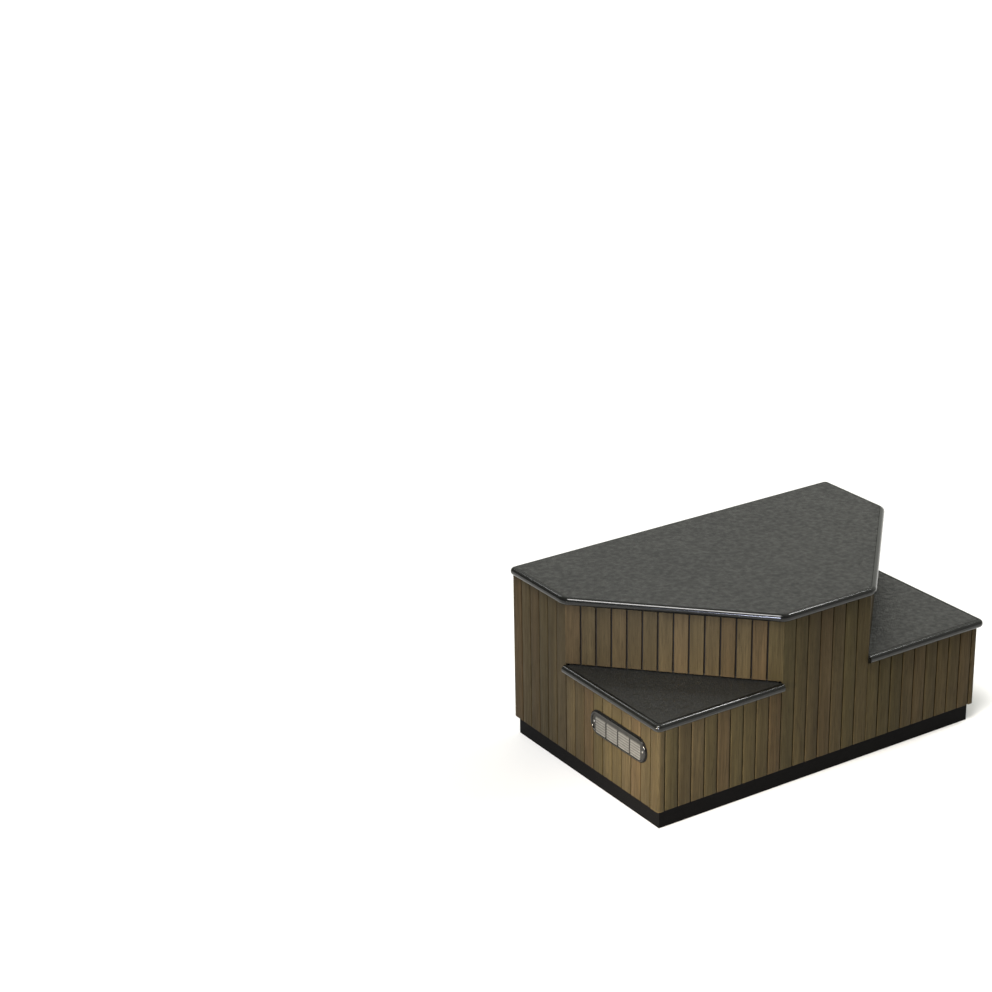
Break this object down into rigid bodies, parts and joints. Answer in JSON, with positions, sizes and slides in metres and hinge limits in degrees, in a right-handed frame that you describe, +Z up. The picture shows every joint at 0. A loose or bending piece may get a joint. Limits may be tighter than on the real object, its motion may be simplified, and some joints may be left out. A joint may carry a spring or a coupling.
{
  "type": "spa steps",
  "caption": "Free-standing corner-cut steps for a hot tub: a high deck between low triangular treads on a slatted cabinet, with a lift-off deck over an equipment bay.",
  "frame": {"origin": "on the floor, under the middle of the whole object's plan", "axes": "+X along the width, to the right as seen by someone who faces the tub; +Y from the front of the steps towards the tub's wall; +Z up"},
  "size_m": [1.092, 0.663, 0.496],
  "materials": {
    "slat": "satin wood-effect composite slats, fine upright grain",
    "board": "charcoal moulded board, fine pebble texture on top and a smooth glossy bullnose",
    "plinth": "matt black painted timber",
    "lining": "black-faced board behind the slats",
    "timber": "planed softwood framing",
    "plywood": "exterior plywood",
    "back_panel": "plain black sheet",
    "rubber_pad": "matt rubber",
    "gasket": "matt rubber",
    "vent_plate": "satin stainless",
    "vent_rim": "polished stainless",
    "vent_screw": "stainless pan head",
    "panel_screw": "zinc-plated countersunk head"
  },
  "bodies": {
    "cabinet": {"back_panel": "back_panel", "back_panel_screws": "panel_screw", "bearer_front_left": "timber", "bearer_front_right": "timber", "bearer_riser_left": "timber", "bearer_riser_right": "timber", "bearer_side_left": "timber", "bearer_side_right": "timber", "corner_trim_left": "slat", "corner_trim_right": "slat", "deck_buffers": "rubber_pad", "floor_board": "plywood", "floor_joist_left": "timber", "floor_joist_right": "timber", "lining_front": "lining", "lining_left": "lining", "lining_right": "lining", "lining_riser_left": "lining", "lining_riser_right": "lining", "plinth_back": "plinth", "plinth_front": "plinth", "plinth_left": "plinth", "plinth_right": "plinth", "post_back_left": "timber", "post_back_right": "timber", "post_corner_left": "timber", "post_corner_right": "timber", "post_front_left": "timber", "post_front_right": "timber", "post_side_left": "timber", "post_side_right": "timber", "slats_front_left": "slat", "slats_front_middle": "slat", "slats_front_right": "slat", "slats_left_low": "slat", "slats_right_low": "slat", "slats_riser_left": "slat", "slats_riser_right": "slat", "slats_tall_left": "slat", "slats_tall_right": "slat", "top_rail_back": "timber", "top_rail_front": "timber", "top_rail_left": "timber", "top_rail_right": "timber", "top_rail_riser_left": "timber", "top_rail_riser_right": "timber", "tread_core_left": "plywood", "tread_core_right": "plywood", "tread_left": "board", "tread_right": "board", "vent_gasket": "gasket", "vent_plate": "vent_plate", "vent_rim": "vent_rim", "vent_screws": "vent_screw"},
    "deck": {"deck_board": "board", "deck_core": "plywood", "deck_cleats": "timber"}
  },
  "joints": [
    {"name": "deck_lift", "type": "slide", "parent": "cabinet", "child": "deck", "axis": [0, 0, 1], "range_m": [0, 0.35]}
  ]
}
